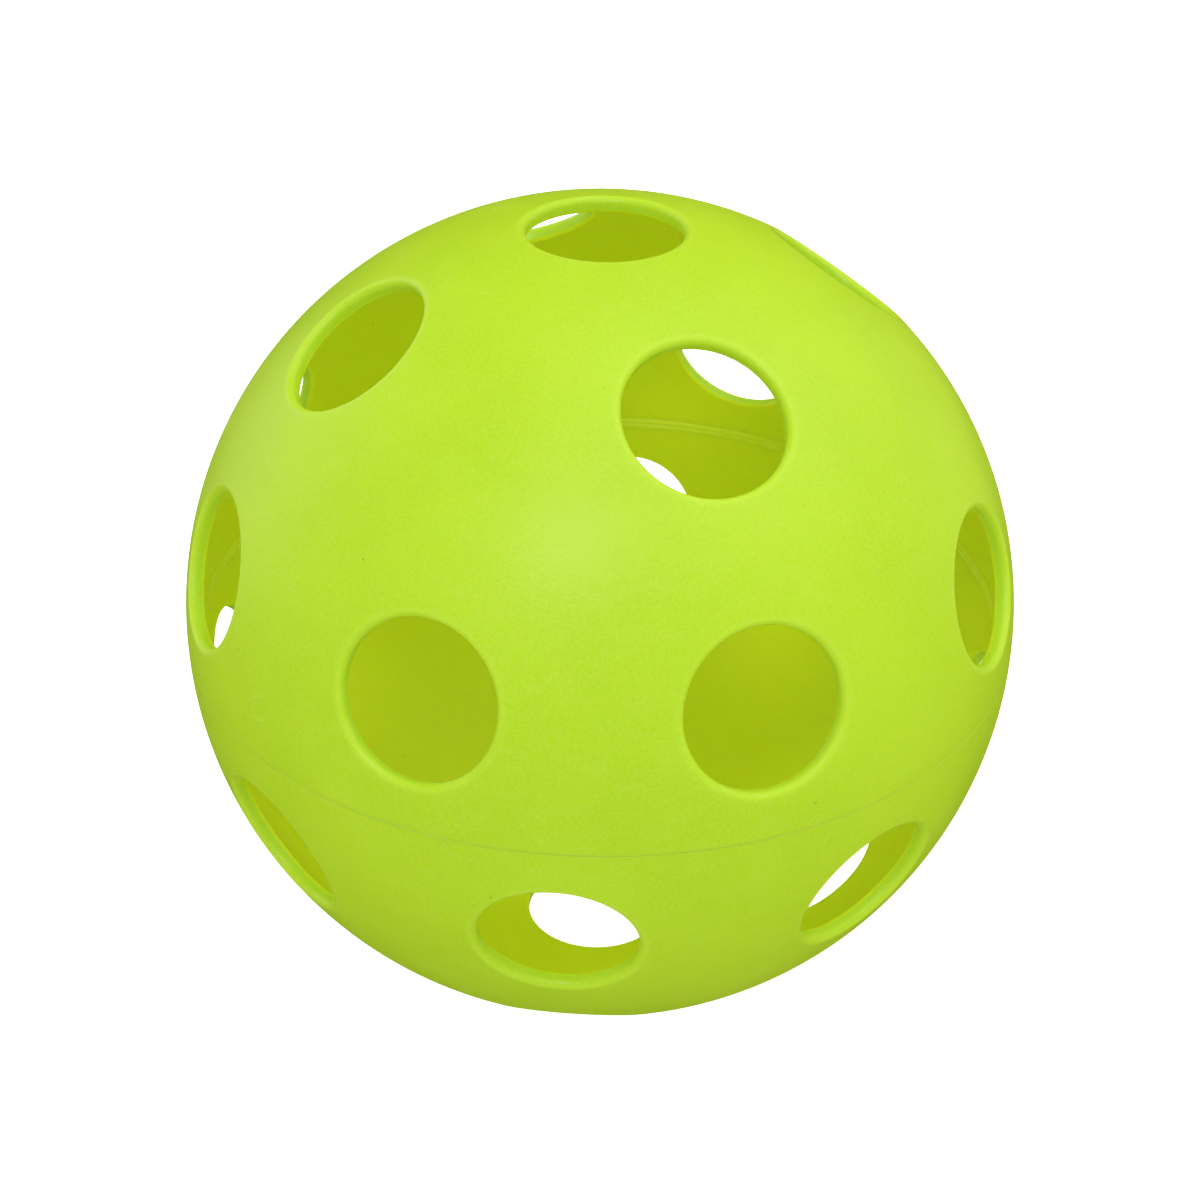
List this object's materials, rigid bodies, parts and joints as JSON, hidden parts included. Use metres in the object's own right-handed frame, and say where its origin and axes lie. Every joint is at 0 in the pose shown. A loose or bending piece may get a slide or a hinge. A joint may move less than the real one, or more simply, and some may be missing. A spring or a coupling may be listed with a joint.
{
  "type": "pickleball ball",
  "caption": "Hollow perforated plastic ball: moulded half shells with rounded round holes, welded together at the equator, with a weld bead inside.",
  "frame": {"origin": "centre of the ball, on the plane of the equator weld", "axes": "+Z through the upper pole hole, along the pole-hole axis and square to the weld; -Y, +X, +Y and -X each pass over a hole of the upper half's ring of four"},
  "size_m": [0.074, 0.074, 0.0726],
  "materials": {
    "shell_plastic": "satin moulded polyethylene, fluorescent yellow-green",
    "weld_plastic": "re-melted polyethylene, same colour, a little duller and smoother"
  },
  "bodies": {
    "root": {"upper_shell": "shell_plastic", "lower_shell": "shell_plastic", "weld_bead": "weld_plastic"}
  },
  "joints": []
}
